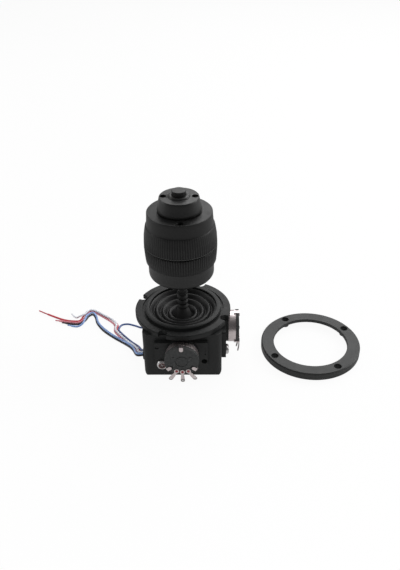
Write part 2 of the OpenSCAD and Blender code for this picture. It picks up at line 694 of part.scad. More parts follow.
module slotted_yoke() {
    slot_deg = tilt + asin(slider_r / arc_inner_r) + 4;
    slot_x = arc_outer_r * sin(slot_deg);
    color("#c9c5ba") translate([0, 0, gimbal_z]) difference() {
        union() {
            intersection() {
                rotate([90, 0, 0]) translate([0, 0, -arc_w / 2])
                    ring(arc_outer_r, arc_inner_r, arc_w);
                translate([-20, -20, -40]) cube([40, 40, 40 + journal_r]);
            }
            for (s = [-1, 1]) translate([s * (arc_inner_r + 0.4), 0, 0]) rotate([0, s * 90, 0])
                cylinder(r = journal_r, h = journal_end - arc_inner_r - 0.4);
            // post that the return spring drives
            translate([-arc_inner_r, 0, -moving_post]) rotate([0, -90, 0])
                cylinder(r = spring_post_r, h = inside - arc_inner_r - 0.6);
        }
        translate([-slot_x, -slot_half, -arc_outer_r - 1])
            cube([2 * slot_x, 2 * slot_half, arc_outer_r]);
        translate([arc_outer_r, 0, 0]) rotate([0, 90, 0])
            cylinder(r = pot_shaft_r + running, h = journal_end);
    }
}

module yoke_spring() {
    color("#8f9194") translate([-arc_outer_r - 0.7, 0, gimbal_z]) rotate([0, -90, 0])
        rotate([0, 0, 180]) coil_spring(spring_r, spring_wire_r, turns_in(yoke_spring_h),
            yoke_spring_h, fixed_post + 1.5, leg_side);
}

// ---------------------------------------------------------------- stick

module stem() {
    color("#a9abae") translate([0, 0, gimbal_z - tail_r])
        ring(stem_r, stem_bore, stem_top - gimbal_z + tail_r);
}

module stick_hub() {
    color("#e0ddd2") translate([0, 0, gimbal_z]) difference() {
        union() {
            rotate([0, 90, 0]) translate([0, 0, -hub_x]) cylinder(r = 4.2, h = 2 * hub_x);
            translate([0, 0, -6.2]) cylinder(r = 3.3, h = 11.2);
        }
        translate([0, 0, -20]) cylinder(r = stem_r, h = 40);
        for (s = [-1, 1]) rotate([0, s * 90, 0]) translate([0, 0, stem_r + 0.3])
            cylinder(r = pin_r + running, h = hub_x);
    }
}

module tail_slider() {
    color("#efece2") translate([0, 0, gimbal_z - tail_r + 0.3])
        ring(slider_r, stem_r, tail_r - arc_inner_r + 1);
}

module stem_leads() {
    color("#7a4a3a") translate([0, 0, gimbal_z - tail_r + 0.2])
        cylinder(r = stem_bore - running, h = stem_top - gimbal_z + tail_r + 1.5);
}

module lower_cup() {
    round_r = 3;
    z0 = knob_z;
    band_z = cup_top - knurl_low_h;
    color("#333333") difference() {
        union() {
            rotate_extrude($fn = 96) polygon(concat(
                [[0, z0 - 4.7], [boss_r - 0.7, z0 - 4.7], [boss_r, z0 - 4], [boss_r, z0 - 0.6],
                 [boss_r + 0.8, z0]],
                [for (a = [-90 : 15 : 0])
                    [cup_r - round_r + round_r * cos(a), z0 + round_r + round_r * sin(a)]],
                [[cup_r, cup_top - 0.2], [cup_r - 0.2, cup_top], [spigot_r, cup_top],
                 [spigot_r, spigot_top - 0.3], [spigot_r - 0.3, spigot_top],
                 [spigot_in, spigot_top], [spigot_in, cup_top - 1], [cup_in, cup_top - 3],
                 [cup_in, z0 + cup_floor], [boss_r - 0.5, z0 + cup_floor],
                 [boss_r - 0.5, stem_top], [0, stem_top]]));
            grip_band([[cup_in + 1, band_z], [cup_r + 0.9, band_z], [cup_r + 1.2, band_z + 0.4],
                [cup_r + 1.5, band_z + 3.5], [knurl_r, cup_top - 0.4],
                [knurl_r - 0.3, cup_top - 0.05], [cup_in + 1, cup_top - 0.05]],
                band_z, knurl_low_h, cup_in + 0.5);
            // posts that carry the twist potentiometer
            for (a = [45, 165, 285]) rotate([0, 0, a])
                translate([pot_post_at, 0, z0 + cup_floor - 0.5])
                    cylinder(r = 1.8, h = post_top - z0 - cup_floor + 0.5);
        }
        translate([0, 0, z0 - 10]) cylinder(r = stem_r, h = 40);
        translate([0, 0, z0 - 2.4]) rotate([0, 90, 0]) cylinder(r = 1.25, h = boss_r + 2);
        // groove for the snap ring
        translate([0, 0, snap_z - snap_h / 2 - 0.05])
            ring(spigot_r + 1, spigot_r - 0.5, snap_h + 0.1);
        // window that the stop screw's tip moves in
        translate([0, 0, spigot_top - 2.9])
            for (a = [-twist : twist / 4 : twist]) rotate([0, 0, a - 90 + 4])
                translate([spigot_in - 1, -1.35, 0]) cube([4, 2.7, 4]);
        for (a = [45, 165, 285]) rotate([0, 0, a])
            translate([pot_post_at, 0, post_top - 5]) cylinder(r = 0.75, h = 6);
    }
}

module cup_set_screw() {
    color("#3c3d3f") translate([stem_r + 0.02, 0, knob_z - 2.4]) rotate([0, 90, 0])
        difference() {
            cylinder(r = 1.24, h = boss_r - stem_r - 0.5);
            translate([0, 0, boss_r - stem_r - 1.7]) cylinder(r = 0.75, h = 2, $fn = 6);
        }
}

// Plate on the cup's posts, with the spring's fixed post
module twist_pot_plate() {
    color("#50565a") difference() {
        union() {
            translate([0, 0, post_top]) cylinder(r = pot_plate_r, h = 1.2);
            rotate([0, 0, 90]) translate([twist_fixed_post, 0, post_top])
                cylinder(r = spring_post_r, h = twist_spring_z + twist_spring_h - post_top + 0.3);
        }
        for (a = [45, 165, 285]) rotate([0, 0, a])
            translate([pot_post_at, 0, post_top - 1]) cylinder(r = 0.95, h = 4);
        rotate([0, 0, 225]) translate([10.2, 0, post_top - 1]) cylinder(r = 1.4, h = 4);
    }
}

module plate_posts_screws() {
    color("#b8babd") for (a = [45, 165, 285]) rotate([0, 0, a])
        translate([pot_post_at, 0, post_top + 1.2]) {
            cylinder(r = 1.2, h = 0.8);
            translate([0, 0, -5.4]) cylinder(r = 0.72, h = 5.5);
        }
}

module twist_pot_body() {
    color("#2f4b7a") difference() {
        translate([0, 0, post_top + 1.2]) union() {
            cylinder(r = twist_body_r, h = twist_body_h);
            cylinder(r = 4.2, h = twist_body_h + 2);
        }
        translate([0, 0, post_top + 2.4])
            cylinder(r = twist_shaft_r + running, h = twist_body_h + 2);
    }
}

module cap_snap_ring() {
    color("#8f9194") difference() {
        translate([0, 0, snap_z - snap_h / 2]) ring(spigot_r + 0.6, spigot_r - 0.45, snap_h);
        rotate([0, 0, 180]) translate([spigot_r - 2, -1, snap_z - 1]) cube([4, 2, 2]);
    }
}

// ---------------------------------------------------------------- twisting cap

module twist_cap() {
    roof = cap_top - knob_wall;
    band_top = cap_z + knurl_high_h;
    hub_z = twist_shaft_top - 8;
    color("#333333") difference() {
        union() {
            rotate_extrude($fn = 96) polygon([
                [0, cap_top], [cap_r - 0.35, cap_top], [cap_r, cap_top - 0.35],
                [cap_r + 0.5, band_top], [cap_r + 0.8, cap_z + 1], [cap_r + 0.8, cap_z],
                [cap_in, cap_z], [cap_in, roof - 3], [cap_in - 3, roof],
                [boss_r, roof], [boss_r, hub_z + 0.3], [boss_r - 0.3, hub_z],
                [twist_shaft_r + 0.02, hub_z], [twist_shaft_r + 0.02, twist_shaft_top],
                [0, twist_shaft_top]]);
            grip_band([[cap_in + 1, cap_z], [knurl_r - 0.25, cap_z],
                [knurl_r - 0.05, cap_z + 0.3], [knurl_r - 0.05, cap_z + 0.7],
                [knurl_r - 0.3, cap_z + 5.5], [knurl_r - 0.85, band_top - 2],
                [cap_r + 1.1, band_top - 0.3], [cap_r + 0.85, band_top],
                [cap_in + 1, band_top]], cap_z, knurl_high_h, cap_in + 0.6);
            // smooth lip under the grip
            translate([0, 0, cap_z]) ring(knurl_r - 0.28, cap_in, 0.7);
            // post that the twist spring bears on
            rotate([0, 0, 90]) translate([twist_moving_post, 0, spigot_top + free_gap])
                cylinder(r = spring_post_r, h = roof - spigot_top);
        }
        translate([0, 0, snap_z - snap_h / 2 - free_gap])
            ring(spigot_r + 0.9, 10, snap_h + 2 * free_gap);
        translate([stop_at[0], stop_at[1], roof - 1]) {
            cylinder(r = 1.7, h = 4);
            translate([0, 0, -3]) cylinder(r = stop_r + locating, h = 5);
        }
        // way for the switch leads
        translate([-4.6, 4.6, roof - 1]) cylinder(r = 0.9, h = knob_wall + 2);
    }
}

module knob_head() {
    z0 = cap_top;
    color("#3a3a3a") difference() {
        rotate_extrude($fn = 96) polygon(concat(
            [[head_in, z0], [head_base_r - 0.8, z0], [head_base_r - 0.25, z0 + 0.4],
             [head_base_r, z0 + 1.1], [head_base_r - 0.15, z0 + 2],
             [head_r, head_top - 0.3], [head_r - 0.3, head_top],
             [collar_r + 0.2, head_top], [collar_r, head_top + 0.15]],
            [for (a = [20 : 20 : 80])
                [collar_r - 0.75 + 0.75 * cos(a), head_top + 0.15 + 0.75 * sin(a)]],
            [[button_r + guide_gap, head_top + collar_h],
             [button_r + guide_gap, head_top - head_roof], [head_in, head_top - head_roof]]));
        for (s = [-1, 1]) translate([s * 8.1, 0, head_top - 3]) cylinder(r = 1.7, h = 4);
    }
}

// Screw through the shoulder: its tip runs in the cup's window and stops the twist
module twist_stop_screw() {
    roof = cap_top - knob_wall;
    color("#1c1c1c") translate([stop_at[0], stop_at[1], 0]) difference() {
        union() {
            translate([0, 0, roof - 0.98]) cylinder(r = 1.65, h = 2.2);
            translate([0, 0, spigot_top - 2.4]) cylinder(r = stop_r, h = roof - spigot_top + 2);
        }
        translate([0, 0, roof + 0.4]) cylinder(r = 0.8, h = 2, $fn = 6);
    }
}

module twist_pot_shaft() {
    z0 = post_top + 2.6;
    color("#b5b7ba") translate([0, 0, z0]) cylinder(r = twist_shaft_r, h = twist_shaft_top - z0);
}

module button_switch() {
    color("#222222") translate([0, 0, cap_top]) {
        translate([-3, -3, 0]) cube([6, 6, switch_h]);
        cylinder(r = 1.6, h = switch_h + plunger_h);
    }
}

module twist_spring() {
    color("#8f9194") translate([0, 0, twist_spring_z]) rotate([0, 0, 90])
        coil_spring(twist_spring_r, spring_wire_r, spring_turns, twist_spring_h,
            twist_moving_post + 1.4, leg_side);
}

// ---------------------------------------------------------------- button

module push_button() {
    color("#2f2f2f") rotate_extrude() polygon([
        [0, button_foot], [button_r + 1.25, button_foot],
        [button_r + 1.25, head_top - head_roof - 0.1], [button_r, head_top - head_roof - 0.1],
        [button_r, button_top - 0.2], [button_r - 0.2, button_top], [0, button_top]]);
}

module button_spring() {
    color("#8f9194") translate([0, 0, cap_top + 0.02])
        coil_spring(4.8, 0.25, 4, button_foot - cap_top - 0.04);
}

// ---------------------------------------------------------------- the parts

housing();
bottom_cover();
case_screws();
top_flange();
boot_clamp_ring();
dust_boot();
journal_bushes();
pot_plate("front");  // front_pot_plate
pot_plate("side");  // side_pot_plate
plate_screw("front");  // front_plate_screw
plate_screw("side");  // side_plate_screw
pot_can("front");  // front_pot_can
pot_can("side");  // side_pot_can
pot_disc("front");  // front_pot_disc
pot_disc("side");  // side_pot_disc
pot_lugs("front");  // front_pot_lugs
pot_lugs("side");  // side_pot_lugs
pot_rivets("front");  // front_pot_rivets
pot_rivets("side");  // side_pot_rivets
cable_grommet();
wire(route_black, "#1a1a20");  // wire_black
wire(route_blue, "#7f9ccc");  // wire_blue
wire(route_pink, "#d98a94");  // wire_pink
wire(route_red, "#c23a48");  // wire_red
wire(route_white, "#dfe3ea");  // wire_white
wire(route_dark_blue, "#4a5f8c");  // wire_dark_blue
mounting_ring();
cradle();
pivot_pins();
pot_shaft("front");  // front_pot_shaft
cradle_spring();
slotted_yoke();
pot_shaft("side");  // side_pot_shaft
yoke_spring();
stem();
stick_hub();
tail_slider();
stem_leads();
lower_cup();
cup_set_screw();
twist_pot_plate();
plate_posts_screws();
twist_pot_body();
cap_snap_ring();
twist_cap();
knob_head();
twist_stop_screw();
twist_pot_shaft();
button_switch();
twist_spring();
push_button();
button_spring();
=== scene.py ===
# %% [markdown]
# # A panel joystick with a folded rubber boot
# The construction comes in as a fixed frame: every rigid piece is already there at its
# real size. This script gives those pieces their finish, rounds their hard edges, and makes
# what is soft: the rubber boot and the six loose wires. Lengths are written in millimetres,
# and one factor turns them to metres at the end of each piece.

# %% Load the frame
import json
import math

import bmesh
import bpy
from mathutils import Matrix, Vector
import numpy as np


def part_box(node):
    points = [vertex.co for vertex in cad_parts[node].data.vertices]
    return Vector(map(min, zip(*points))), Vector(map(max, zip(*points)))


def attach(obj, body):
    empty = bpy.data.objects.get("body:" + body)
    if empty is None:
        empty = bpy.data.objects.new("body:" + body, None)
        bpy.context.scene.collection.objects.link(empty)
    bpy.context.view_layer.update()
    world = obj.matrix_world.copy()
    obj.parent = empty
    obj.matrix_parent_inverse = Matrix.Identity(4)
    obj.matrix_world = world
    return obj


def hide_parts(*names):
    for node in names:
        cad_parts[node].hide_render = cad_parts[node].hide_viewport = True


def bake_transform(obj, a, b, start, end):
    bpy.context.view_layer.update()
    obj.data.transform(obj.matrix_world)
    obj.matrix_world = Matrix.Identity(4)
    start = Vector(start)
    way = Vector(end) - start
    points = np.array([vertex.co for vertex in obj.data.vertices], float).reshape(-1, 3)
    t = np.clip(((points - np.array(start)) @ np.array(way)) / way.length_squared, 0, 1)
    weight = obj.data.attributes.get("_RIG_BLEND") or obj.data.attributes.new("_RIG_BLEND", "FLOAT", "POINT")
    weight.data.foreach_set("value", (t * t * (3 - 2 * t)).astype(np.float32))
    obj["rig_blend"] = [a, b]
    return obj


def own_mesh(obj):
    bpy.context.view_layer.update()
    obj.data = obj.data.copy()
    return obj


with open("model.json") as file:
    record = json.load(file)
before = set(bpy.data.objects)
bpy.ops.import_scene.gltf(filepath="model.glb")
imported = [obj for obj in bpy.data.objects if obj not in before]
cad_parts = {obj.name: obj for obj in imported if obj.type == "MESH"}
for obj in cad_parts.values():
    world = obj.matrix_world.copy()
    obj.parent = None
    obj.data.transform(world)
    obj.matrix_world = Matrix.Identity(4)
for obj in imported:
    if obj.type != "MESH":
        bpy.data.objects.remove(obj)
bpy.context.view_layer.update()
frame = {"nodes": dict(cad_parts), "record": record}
MM = 0.001


def corners(node):
    """Lowest and highest corner of a construction piece, in millimetres."""
    low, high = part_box(node)
    return low / MM, high / MM


# %% [markdown]
# ## The camera
# The joystick is shown from a little above, with a normal lens from just under 40 cm. A
# camera in Blender looks down its own -Z with +Y up, so its turn is a matrix whose columns
# are the view's right, the view's up and the way back to the eye.

# %% Set up the camera
camera_at = Vector((16.8, -291.5, 243.1))
looks_down = math.radians(33.96)
turned_left = math.radians(1.38)
leans = math.radians(-0.99)
lens_mm = 40.57


def camera_turn(down, left, lean):
    """Matrix of a camera that looks along +Y, tipped down, turned left and leaning."""
    ahead = Vector((-math.sin(left) * math.cos(down), math.cos(left) * math.cos(down),
                    -math.sin(down)))
    level = Vector((math.cos(left), math.sin(left), 0))
    upright = level.cross(ahead)
    right = level * math.cos(lean) + upright * math.sin(lean)
    up = upright * math.cos(lean) - level * math.sin(lean)
    return Matrix((right, up, -ahead)).transposed()


camera = bpy.data.objects.new("camera", bpy.data.cameras.new("camera"))
bpy.context.scene.collection.objects.link(camera)
camera.data.lens = lens_mm
camera.data.sensor_width = 36
camera.data.clip_start = 0.01
camera.matrix_world = (Matrix.Translation(camera_at * MM)
                       @ camera_turn(looks_down, turned_left, leans).to_4x4())
bpy.context.scene.camera = camera
print("camera stands", round((camera_at * MM).length, 3), "m from the origin")

# %% [markdown]
# ## Colours and nodes
# Screens show sRGB values, but the renderer computes with linear light. One function turns a
# hex colour into linear numbers, and one adds a node with its settings and its links.

# %% Colour and node helpers
def paint(hex_colour):
    """Linear RGBA from an sRGB hex value such as '#2b2b2c'."""
    shares = [int(hex_colour[i:i + 2], 16) / 255 for i in (1, 3, 5)]
    linear = [s / 12.92 if s <= 0.04045 else ((s + 0.055) / 1.055) ** 2.4 for s in shares]
    return (*linear, 1.0)


def add(tree, kind, links=None, **settings):
    """Adds one node. Settings are its own properties or inputs, links go to its inputs."""
    made = tree.nodes.new("ShaderNode" + kind)
    for key, value in settings.items():
        if hasattr(made, key):
            setattr(made, key, value)
        else:
            made.inputs[key.replace("_", " ")].default_value = value
    for key, source in (links or {}).items():
        tree.links.new(source, made.inputs[key])
    return made


def blank(name):
    """An empty node material with its output and an object coordinate."""
    made = bpy.data.materials.new(name)
    made.use_nodes = True
    made.node_tree.nodes.clear()
    where = add(made.node_tree, "TexCoord").outputs["Object"]
    return made, made.node_tree, where


print("mid grey #808080 is", round(paint("#808080")[0], 3), "in linear light")

# %% [markdown]
# ## Moulded plastics and rubber
# The casing is glass-filled ABS from a spark-eroded mould: black, with an even grain that
# breaks up every reflection. What the eye reads is the roughness: a wide, weak sheen on faces
# that look up, and almost nothing on upright ones. A fine noise drives the bump at the size
# of the grain, and a slow noise shifts the roughness a little, as handling does. Plastics
# have an IOR near 1.5. Most black ones were matched to the object with a lower one, which
# weakens the sheen, and the bright rims of the grips with a higher one; their lighter colour
# is a painted highlight. The stick is a tube under black paint, and the rivets are lacquered,
# so both use this finish too.

# %% Moulded surfaces
def moulded(name, colour, worn_colour, rough, grain_mm, grain_depth, ior=1.5, patch_mm=9.0):
    """Plastic or rubber out of a mould: grain as bump, handling as slow change of gloss."""
    made, tree, where = blank(name)
    grain = add(tree, "TexNoise", {"Vector": where}, Scale=1 / (grain_mm * MM), Detail=3.0)
    handled = add(tree, "TexNoise", {"Vector": where}, Scale=1 / (patch_mm * MM), Detail=5.0,
                  Roughness=0.6)
    tone = add(tree, "ValToRGB", {"Fac": handled.outputs["Fac"]})
    tone.color_ramp.elements[0].position = 0.35
    tone.color_ramp.elements[0].color = paint(colour)
    tone.color_ramp.elements[1].position = 0.75
    tone.color_ramp.elements[1].color = paint(worn_colour)
    gloss = add(tree, "MapRange", {"Value": handled.outputs["Fac"]}, From_Min=0.3,
                From_Max=0.7, To_Min=rough - 0.05, To_Max=rough + 0.06)
    relief = add(tree, "Bump", {"Height": grain.outputs["Fac"]}, Strength=0.6,
                 Distance=grain_depth * MM)
    skin = add(tree, "BsdfPrincipled", {
        "Base Color": tone.outputs["Color"], "Roughness": gloss.outputs["Result"],
        "Normal": relief.outputs["Normal"]}, IOR=ior)
    add(tree, "OutputMaterial", {"Surface": skin.outputs["BSDF"]})
    return made


spark_grained_abs = moulded("spark_grained_abs", "#191a1a", "#1f2020", 0.5, 0.35, 0.01, 1.38)
flange_abs = moulded("flange_abs", "#171818", "#1c1d1d", 0.47, 0.35, 0.01, 1.34)
satin_nylon = moulded("satin_nylon", "#131313", "#171717", 0.45, 0.3, 0.008, 1.4)
head_nylon = moulded("head_nylon", "#131313", "#171717", 0.43, 0.3, 0.008, 1.46)
cup_nylon = moulded("cup_nylon", "#151515", "#191919", 0.45, 0.3, 0.008, 1.5)
# The rims' lighter colour is a painted highlight next to the parting.
rim_nylon_painted_highlight = moulded("rim_nylon_painted_highlight", "#303030", "#363636", 0.36, 0.3, 0.008, 1.8)
ring_abs = moulded("ring_abs", "#262727", "#2b2c2c", 0.46, 0.4, 0.01, 1.42)
painted_tube = moulded("painted_tube", "#181818", "#1f1f1f", 0.5, 0.3, 0.004, 1.4)
button_abs = moulded("button_abs", "#131313", "#171717", 0.42, 0.5, 0.004, 1.4)
phenolic = moulded("phenolic", "#2b2c2c", "#3f4040", 0.55, 0.4, 0.02, 1.4, patch_mm=1.1)
nitrile_rubber = moulded("nitrile_rubber", "#131314", "#1a1a1a", 0.52, 0.6, 0.01, 1.42)
matte_rubber = moulded("matte_rubber", "#171717", "#1d1d1d", 0.65, 0.6, 0.01, 1.35)
acetal = moulded("acetal", "#d9d6cc", "#e2dfd6", 0.4, 0.5, 0.008)
blue_thermoset = moulded("blue_thermoset", "#27426f", "#2f4b7a", 0.42, 0.5, 0.01)
lead_bundle = moulded("lead_bundle", "#5e3a2e", "#7a4a3a", 0.5, 0.8, 0.02)
red_lacquer = moulded("red_lacquer", "#7a2129", "#8e2c33", 0.3, 0.5, 0.01)
print("moulded finishes ready")

# %% [markdown]
# ## Metals
# Metals here are small and bright, so they mostly show what surrounds them. The can is drawn
# nickel silver: fine lines run round it from the drawing die. Screws are zinc-plated steel,
# with the flat of each head painted dark brown as a painted reflection, and the lugs are tinned
# brass, painted a darker grey at their lower ends as painted shade. Springs are bare spring wire.
# A metal's colour is its reflection, so metallic is 1 and the IOR is left alone.

# %% Metal surfaces
def metal(name, colour, dull_colour, rough, line_mm, line_depth, squeeze=(1, 1, 1)):
    """Worked metal: stretched noise gives the lines, a slow noise gives the tarnish."""
    made, tree, where = blank(name)
    stretched = add(tree, "Mapping", {"Vector": where}, Scale=squeeze)
    lines = add(tree, "TexNoise", {"Vector": stretched.outputs["Vector"]},
                Scale=1 / (line_mm * MM), Detail=4.0)
    tarnish = add(tree, "TexNoise", {"Vector": where}, Scale=1 / (3.5 * MM), Detail=4.0)
    tone = add(tree, "ValToRGB", {"Fac": tarnish.outputs["Fac"]})
    tone.color_ramp.elements[0].position = 0.4
    tone.color_ramp.elements[0].color = paint(colour)
    tone.color_ramp.elements[1].position = 0.8
    tone.color_ramp.elements[1].color = paint(dull_colour)
    gloss = add(tree, "MapRange", {"Value": lines.outputs["Fac"]}, From_Min=0.3, From_Max=0.7,
                To_Min=rough - 0.05, To_Max=rough + 0.08)
    relief = add(tree, "Bump", {"Height": lines.outputs["Fac"]}, Strength=0.5,
                 Distance=line_depth * MM)
    skin = add(tree, "BsdfPrincipled", {
        "Base Color": tone.outputs["Color"], "Roughness": gloss.outputs["Result"],
        "Normal": relief.outputs["Normal"]}, Metallic=1.0)
    add(tree, "OutputMaterial", {"Surface": skin.outputs["BSDF"]})
    return made


nickel_silver = metal("nickel_silver", "#e4d9d9", "#cfc4c4", 0.3, 0.5, 0.003, (1, 1, 0.1))
zinc_plate = metal("zinc_plate", "#e6e4e4", "#cfcccc", 0.3, 0.4, 0.008)
screw_crown_painted_reflection = metal("screw_crown_painted_reflection", "#6e5452", "#4d3c3b", 0.35, 0.4, 0.008)
tinned_brass = metal("tinned_brass", "#ebe0df", "#d6cac9", 0.34, 0.5, 0.008)
lug_tip_painted_shade = metal("lug_tip_painted_shade", "#a39e9d", "#837f7e", 0.36, 0.6, 0.01)
ground_steel = metal("ground_steel", "#a9abae", "#97999c", 0.28, 0.3, 0.004, (1, 1, 0.1))
spring_wire = metal("spring_wire", "#8f9194", "#75777a", 0.35, 0.4, 0.006)
blackened_steel = metal("blackened_steel", "#2b2b2d", "#353537", 0.4, 0.4, 0.006)
passivated_steel = metal("passivated_steel", "#878d8f", "#757b7d", 0.38, 0.5, 0.006)
tinned_strands = metal("tinned_strands", "#b9a8a4", "#8f7f7c", 0.32, 0.25, 0.03)
print("metal finishes ready")

# %% [markdown]
# ## Wire insulation
# The wires are thin hook-up wire in soft PVC. PVC this thin is slightly glossy, and its
# colour is nearly even along its length. One function makes the finish, so the six colours
# differ in nothing else.

# %% Wire finishes
def soft_pvc(name, colour, shade):
    """Glossy PVC insulation, whose colour drifts a little towards a second shade."""
    return moulded("pvc_" + name, colour, shade, 0.34, 0.9, 0.02, ior=1.52, patch_mm=6.0)


wire_colours = {
    "wire_black": soft_pvc("black", "#1b1c24", "#23242d"),
    "wire_blue": soft_pvc("light_blue", "#88a5d6", "#7894c6"),
    "wire_pink": soft_pvc("pink", "#dd8e98", "#cd7d88"),
    "wire_red": soft_pvc("red", "#c63b4a", "#b23241"),
    "wire_white": soft_pvc("white", "#e3e6ec", "#d3d7df"),
    "wire_dark_blue": soft_pvc("dark_blue", "#4c6396", "#415686"),
}
print(len(wire_colours), "colours of insulation ready")

# %% [markdown]
# ## The wires
# Each wire leaves the grommet in the left wall, drops to the surface and wanders along it to
# a stripped, tinned end. Its route is a short list of given points. A curve through
# all of them (Catmull-Rom) has no corners, and a bevelled curve object turns it into a tube.
# The tube is then kept as a mesh, so that its last few millimetres can be bare metal.

# %% Wire routes
routes = {
    "wire_black": [
        (-23, -10.3, 5.6), (-26.8, -9.9, 5.2), (-29.3, -4.3, 3.8), (-32, 1.2, 1.8),
        (-36, 6, 0.6), (-43.5, 12, 0.6), (-50.5, 18.8, 0.6), (-55, 25.5, 0.6),
        (-57.2, 32, 0.6), (-59.5, 35.2, 0.6), (-61.9, 33, 0.6), (-63, 29.5, 0.6),
        (-65.5, 26, 0.6), (-69.5, 25.2, 0.6), (-77.5, 26.9, 0.6)],
    "wire_blue": [
        (-23, -10.3, 6.9), (-26.8, -9.8, 6.6), (-28.9, -4.1, 5), (-31.5, 1.6, 3),
        (-35.5, 6.5, 1.7), (-43.1, 12.5, 1.7), (-50, 19.3, 1.7), (-54.5, 25.8, 1.7),
        (-56.7, 32.3, 1.7), (-59.4, 35.9, 1.7), (-62.5, 33.4, 1.7), (-63.2, 29, 1.9),
        (-64.3, 25, 1.2), (-67.5, 22.9, 0.6), (-73.5, 24.5, 0.6)],
    "wire_pink": [
        (-23, -9, 5.6), (-25.7, -8.5, 5.4), (-28, -3.6, 3.8), (-31, 2, 1.8), (-35, 7, 0.6),
        (-42.5, 16.5, 0.6), (-43.6, 20.5, 0.6), (-43.8, 23.4, 0.6), (-46.3, 27.2, 0.6),
        (-53, 33.2, 0.6), (-58.3, 37.2, 0.6), (-61.5, 37.6, 0.6), (-63.4, 34, 0.6),
        (-64.6, 29.8, 0.6), (-67, 27, 0.6), (-72, 27.2, 0.6), (-82, 29.3, 0.6)],
    "wire_red": [
        (-23, -7.7, 5.6), (-24.6, -7.1, 5.5), (-26.7, -2.9, 3.8), (-30, 2.8, 1.8),
        (-34, 8, 0.6), (-41.4, 17.3, 0.6), (-42.3, 20.6, 0.6), (-42.1, 23.6, 0.6),
        (-45.1, 28.5, 0.6), (-52.2, 34.3, 0.6), (-57.6, 38.5, 0.6), (-62.2, 39.4, 0.6),
        (-64.9, 34.4, 0.6), (-65.9, 30.3, 0.6), (-68, 28.3, 0.6), (-76.5, 29.6, 0.6),
        (-87.5, 35.3, 0.6), (-94.5, 39.5, 0.6)],
    "wire_white": [
        (-23, -9, 6.9), (-25.7, -8.4, 6.7), (-27.5, -3.2, 5), (-30.5, 2.4, 3),
        (-34.5, 7.5, 1.7), (-42, 16.9, 1.7), (-43, 20.5, 1.7), (-42.8, 23.8, 1.7),
        (-45.5, 28, 1.7), (-52.6, 33.8, 1.7), (-58, 37.9, 1.7), (-61.9, 38.3, 1.8),
        (-64.3, 34.2, 1.9), (-66.7, 32.2, 1.9), (-69.5, 32, 0.7), (-73, 36, 0.6)],
    "wire_dark_blue": [
        (-23, -7.7, 6.9), (-24.4, -6.9, 6.8), (-26.1, -2.4, 5), (-28.6, 3.3, 1.9),
        (-33, 8.9, 0.6), (-40.2, 17.8, 0.6), (-41, 21, 0.6), (-39.6, 24.3, 0.6),
        (-36, 25.2, 0.6), (-31.5, 23.6, 0.6), (-26.5, 21.5, 0.6), (-21, 24, 0.6),
        (-13, 26, 0.6)],
}
print("routes have", sum(map(len, routes.values())), "points")

# %% From a route to a tube
bare_tip = {"wire_red": 7.5}          # stripped length in mm, where it isn't the usual one
usual_tip = 2.6
wire_radius = 0.6
strand_radius = 0.4
cut_slant = 0.04                      # the insulation's cut end, measured along the wire


def smooth_route(points, per_span=4):
    """Points on a Catmull-Rom curve that passes through all the given ones."""
    pts = [Vector(p) for p in points]
    pts = [2 * pts[0] - pts[1], *pts, 2 * pts[-1] - pts[-2]]
    made = []
    for a, b, c, d in zip(pts, pts[1:], pts[2:], pts[3:]):
        for step in range(per_span):
            t = step / per_span
            made.append(0.5 * (2 * b + (c - a) * t + (2 * a - 5 * b + 4 * c - d) * t ** 2
                               + (3 * b - a - 3 * c + d) * t ** 3))
    return [*made, pts[-2]]


def with_bare_tip(path, tip):
    """Pairs of point and radius along a wire, and the row where the insulation ends."""
    run = [0.0]
    for a, b in zip(path, path[1:]):
        run.append(run[-1] + (b - a).length)
    cut_at = run[-1] - tip
    cut = next(i for i, reached in enumerate(run) if reached >= cut_at)
    edge = path[cut - 1].lerp(path[cut], (cut_at - run[cut - 1]) / (run[cut] - run[cut - 1]))
    ahead = (path[cut] - path[cut - 1]).normalized() * cut_slant
    rows = [*[(p, wire_radius) for p in path[:cut]], (edge, wire_radius),
            (edge + ahead, strand_radius), *[(p, strand_radius) for p in path[cut:]]]
    return rows, cut


def tube_along(name, rows):
    """A mesh tube that takes its radius from each row."""
    curve = bpy.data.curves.new(name + "_line", "CURVE")
    curve.dimensions = "3D"
    curve.bevel_depth = 1.0
    curve.bevel_resolution = 3
    curve.use_fill_caps = True
    spline = curve.splines.new("POLY")
    spline.points.add(len(rows) - 1)
    for point, (p, r) in zip(spline.points, rows):
        point.co = (*p, 1)
        point.radius = r
    line = bpy.data.objects.new(name + "_line", curve)
    mesh = bpy.data.meshes.new_from_object(line)
    bpy.data.objects.remove(line)
    return mesh

# %% Lay the wires
def lay_wire(name, points, insulation):
    """One wire: a smooth tube with a thinner bare tip, riding on the base."""
    path = smooth_route(points)
    length = sum((b - a).length for a, b in zip(path, path[1:]))
    rows, cut = with_bare_tip(path, bare_tip.get(name, usual_tip))
    mesh = tube_along(name, rows)
    bm = bmesh.new()
    bm.from_mesh(mesh)
    bmesh.ops.remove_doubles(bm, verts=bm.verts, dist=0.002)
    bmesh.ops.recalc_face_normals(bm, faces=bm.faces)
    for face in bm.faces:
        middle = face.calc_center_median()
        to_strands = min((middle - p).length for p, r in rows[cut + 1:])
        to_insulation = min((middle - p).length for p, r in rows[:cut + 1])
        face.material_index = int(to_strands < to_insulation)
        face.smooth = True
    bmesh.ops.scale(bm, vec=(MM,) * 3, verts=bm.verts)
    bm.to_mesh(mesh)
    bm.free()
    mesh.materials.clear()
    mesh.materials.append(insulation)
    mesh.materials.append(tinned_strands)
    mesh.set_sharp_from_angle(angle=math.radians(50))
    wire = bpy.data.objects.new(name + "_lead", mesh)
    bpy.context.scene.collection.objects.link(wire)
    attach(wire, "base")
    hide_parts(name)
    return length


for name, points in routes.items():
    length = lay_wire(name, points, wire_colours[name])
    print(name, "is", round(length, 1), "mm long")

